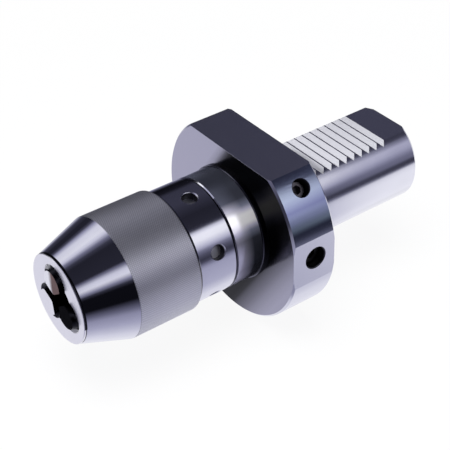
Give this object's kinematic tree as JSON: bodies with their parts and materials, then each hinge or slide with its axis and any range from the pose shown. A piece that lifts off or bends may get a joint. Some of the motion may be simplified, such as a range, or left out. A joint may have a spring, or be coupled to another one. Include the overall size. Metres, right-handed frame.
{
  "type": "vdi drill holder",
  "caption": "Turret tool holder with a serrated round shank, a flange with two flats and a built-in keyless drill chuck with a knurled sleeve.",
  "frame": {"origin": "centre of the flange's contact face, on the tool axis", "axes": "+Y along the tool axis towards the shank's end, so the chuck's nose points to -Y; +Z square to the serrated flat, out of the flange's top flat; +X out of the flange's side flat"},
  "size_m": [0.0818, 0.1632, 0.074],
  "materials": {
    "ground_steel": "fine ground, hardened",
    "polished_steel": "finely turned and polished",
    "black_steel": "blackened",
    "jaw_steel": "hardened, ground bright",
    "bearing_steel": "polished",
    "brass": "machined",
    "rubber": "smooth"
  },
  "bodies": {
    "holder": {"holder_body": "ground_steel", "shank_o_ring": "rubber", "rim_plug_screw": "black_steel", "side_plug_screw": "black_steel", "spindle_nut": "brass", "nut_lock_pin": "bearing_steel", "front_race": "bearing_steel"},
    "cage": {"ball_cage": "brass", "bearing_ball_01": "bearing_steel", "bearing_ball_02": "bearing_steel", "bearing_ball_03": "bearing_steel", "bearing_ball_04": "bearing_steel", "bearing_ball_05": "bearing_steel", "bearing_ball_06": "bearing_steel", "bearing_ball_07": "bearing_steel", "bearing_ball_08": "bearing_steel", "bearing_ball_09": "bearing_steel", "bearing_ball_10": "bearing_steel", "bearing_ball_11": "bearing_steel", "bearing_ball_12": "bearing_steel"},
    "sleeve": {"spanner_ring": "polished_steel", "neck_o_ring": "rubber", "rear_race": "bearing_steel", "knurled_sleeve": "polished_steel", "jaw_guide": "black_steel", "guide_retaining_ring": "black_steel", "nose_cap": "ground_steel"},
    "spindle": {"drive_spindle": "black_steel", "stem_stop_ring": "black_steel"},
    "jaw_1": {"jaw_1": "jaw_steel"},
    "jaw_2": {"jaw_2": "jaw_steel"},
    "jaw_3": {"jaw_3": "jaw_steel"}
  },
  "joints": [
    {"name": "sleeve_turn", "type": "hinge", "parent": "holder", "child": "sleeve", "pos_m": [0, 0, 0], "axis": [0, 1, 0], "range_deg": [-1290, 920]},
    {"name": "cage_turn", "type": "hinge", "parent": "holder", "child": "cage", "pos_m": [0, 0, 0], "axis": [0, 1, 0], "range_deg": [-645, 460]},
    {"name": "spindle_travel", "type": "slide", "parent": "sleeve", "child": "spindle", "axis": [0, -1, 0], "range_m": [-0.01075, 0.00767]},
    {"name": "jaw_1_slide", "type": "slide", "parent": "sleeve", "child": "jaw_1", "axis": [0.0323, -0.9511, -0.3073], "range_m": [-0.01131, 0.00806]},
    {"name": "jaw_2_slide", "type": "slide", "parent": "sleeve", "child": "jaw_2", "axis": [-0.2823, -0.9511, 0.1257], "range_m": [-0.01131, 0.00806]},
    {"name": "jaw_3_slide", "type": "slide", "parent": "sleeve", "child": "jaw_3", "axis": [0.25, -0.9511, 0.1816], "range_m": [-0.01131, 0.00806]}
  ],
  "couplings": [
    {"joint": "cage_turn", "follows": "sleeve_turn", "ratio": 0.5},
    {"joint": "spindle_travel", "follows": "sleeve_turn", "m_per_rad": 0.00047746},
    {"joint": "jaw_1_slide", "follows": "sleeve_turn", "m_per_rad": 0.00050204},
    {"joint": "jaw_2_slide", "follows": "sleeve_turn", "m_per_rad": 0.00050204},
    {"joint": "jaw_3_slide", "follows": "sleeve_turn", "m_per_rad": 0.00050204}
  ]
}
